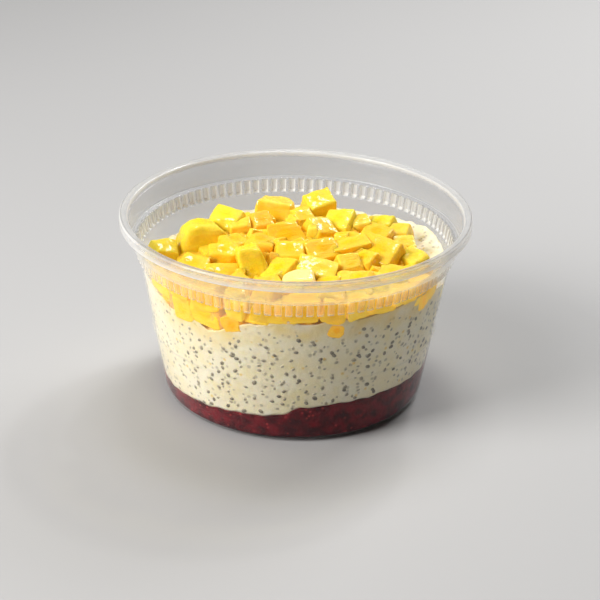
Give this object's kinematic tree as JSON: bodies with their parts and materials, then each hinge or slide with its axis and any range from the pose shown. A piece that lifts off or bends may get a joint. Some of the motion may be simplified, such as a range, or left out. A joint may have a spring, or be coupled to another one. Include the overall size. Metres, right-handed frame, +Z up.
{
  "type": "chia pudding cup",
  "caption": "Layered chia pudding in a clear round takeaway cup: red fruit at the bottom, cream pudding with dark seeds, and a heap of diced mango on top.",
  "frame": {"origin": "centre of the cup's base, on the surface it stands on", "axes": "+Z up along the cup's axis, -Y towards the side seen in front, +X to the right of that side"},
  "size_m": [0.117, 0.117, 0.0633],
  "materials": {
    "clear_plastic": "thin hazy clear polypropylene, semi-gloss",
    "red_fruit": "wet crimson fruit puree",
    "pudding_cream": "soft cream pudding with dark chia seeds",
    "mango_flesh": "wet diced mango"
  },
  "bodies": {
    "root": {"container": "clear_plastic", "red_fruit_layer": "red_fruit", "chia_pudding": "pudding_cream", "mango_dice": "mango_flesh"}
  },
  "joints": []
}
